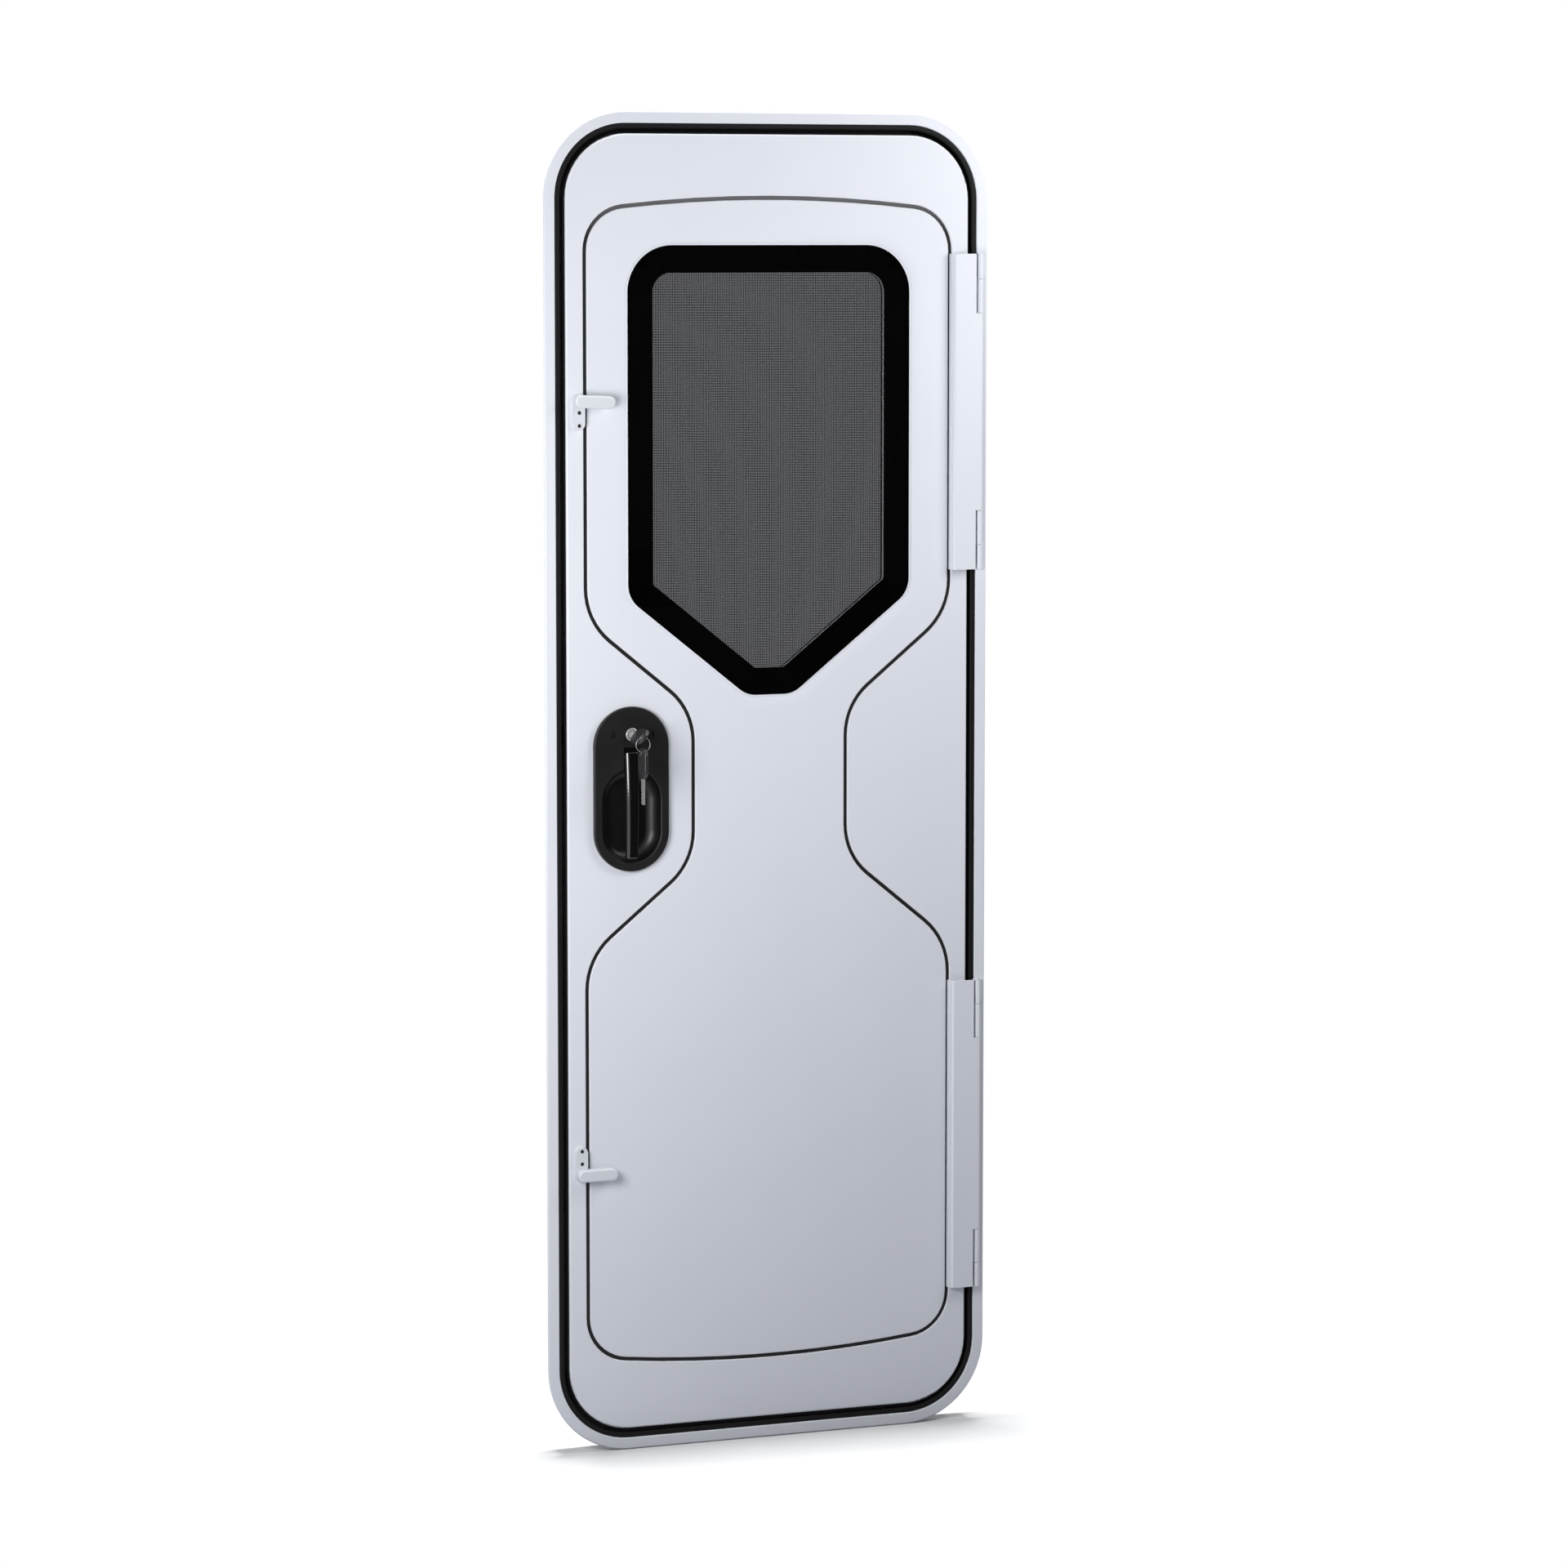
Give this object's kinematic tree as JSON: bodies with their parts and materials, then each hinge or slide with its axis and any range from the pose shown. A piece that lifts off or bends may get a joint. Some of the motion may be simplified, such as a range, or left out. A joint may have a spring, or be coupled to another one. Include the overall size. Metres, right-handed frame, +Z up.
{
  "type": "caravan entry door",
  "caption": "White caravan entry door in its flanged frame, with an hourglass outer panel, bonded window with security mesh, long side hinges, turn clips and a black lock with pull handle.",
  "frame": {"origin": "bottom middle of the back face of the frame flange, which lies on the wall", "axes": "X to the right seen from outside, Y into the caravan, Z up, outside face toward -Y"},
  "size_m": [0.67, 0.109, 1.886],
  "materials": {
    "frame_paint": "semi-gloss white paint",
    "leaf_paint": "semi-gloss white paint",
    "core_board": "white edge of the insulated core",
    "black_rubber": "satin",
    "window_glass": "polished, grey tint",
    "black_border": "gloss",
    "mesh_black": "fine woven mesh, satin black",
    "mesh_frame_paint": "satin",
    "hinge_paint": "semi-gloss white paint",
    "pin_steel": "plain steel",
    "lock_satin_black": "satin moulded",
    "handle_gloss_black": "gloss",
    "bright_metal": "polished, lightly worn",
    "key_plastic": "satin moulded",
    "clip_plastic": "moulded white",
    "inner_black": "satin moulded"
  },
  "bodies": {
    "frame": {"frame_head": "frame_paint", "frame_sill": "frame_paint", "frame_lock_jamb": "frame_paint", "frame_hinge_jamb": "frame_paint", "frame_seal": "black_rubber", "strike_plate": "pin_steel", "upper_frame_knuckle_top": "hinge_paint", "upper_frame_knuckle_bottom": "hinge_paint", "upper_hinge_pin": "pin_steel", "lower_frame_knuckle_top": "hinge_paint", "lower_frame_knuckle_bottom": "hinge_paint", "lower_hinge_pin": "pin_steel"},
    "door": {"cylinder_bezel": "bright_metal", "handle_pin": "pin_steel", "inner_lever": "inner_black", "inner_lock_cover": "inner_black", "key_ring": "bright_metal", "latch_bolt": "pin_steel", "leaf_edge_seal": "black_rubber", "lock_plate": "lock_satin_black", "lower_clip_base": "clip_plastic", "lower_hinge_plate": "hinge_paint", "lower_hinge_tube": "hinge_paint", "lower_leaf_knuckle_bottom": "hinge_paint", "lower_leaf_knuckle_top": "hinge_paint", "mesh_frame": "mesh_frame_paint", "outer_panel": "leaf_paint", "panel_seal": "black_rubber", "security_mesh": "mesh_black", "spare_key_blade": "bright_metal", "spare_key_bow": "key_plastic", "surround_core": "core_board", "surround_skin": "leaf_paint", "upper_clip_base": "clip_plastic", "upper_hinge_plate": "hinge_paint", "upper_hinge_tube": "hinge_paint", "upper_leaf_knuckle_bottom": "hinge_paint", "upper_leaf_knuckle_top": "hinge_paint", "window_border": "black_border", "window_glass": "window_glass", "window_liner": "black_border"},
    "handle": {"pull_handle": "handle_gloss_black"},
    "key": {"lock_plug": "bright_metal", "key_bow": "key_plastic", "key_blade": "bright_metal"},
    "upper_clip": {"upper_clip_arm": "clip_plastic"},
    "lower_clip": {"lower_clip_arm": "clip_plastic"}
  },
  "joints": [
    {"name": "door_swing", "type": "hinge", "parent": "frame", "child": "door", "pos_m": [0.319, -0.015, 0.943], "axis": [0, 0, 1], "range_deg": [0, 170]},
    {"name": "handle_pull", "type": "hinge", "parent": "door", "child": "handle", "pos_m": [-0.211, -0.0115, 0.989], "axis": [-1, 0, 0], "range_deg": [0, 20], "stiffness_Nm_per_rad": 0.6},
    {"name": "lock_turn", "type": "hinge", "parent": "door", "child": "key", "pos_m": [-0.211, -0.015, 1.02], "axis": [0, 1, 0], "range_deg": [-80, 0]},
    {"name": "upper_clip_turn", "type": "hinge", "parent": "door", "child": "upper_clip", "pos_m": [-0.287, -0.0184, 1.486], "axis": [0, -1, 0], "range_deg": [0, 90]},
    {"name": "lower_clip_turn", "type": "hinge", "parent": "door", "child": "lower_clip", "pos_m": [-0.287, -0.0184, 0.4], "axis": [0, 1, 0], "range_deg": [0, 90]}
  ]
}
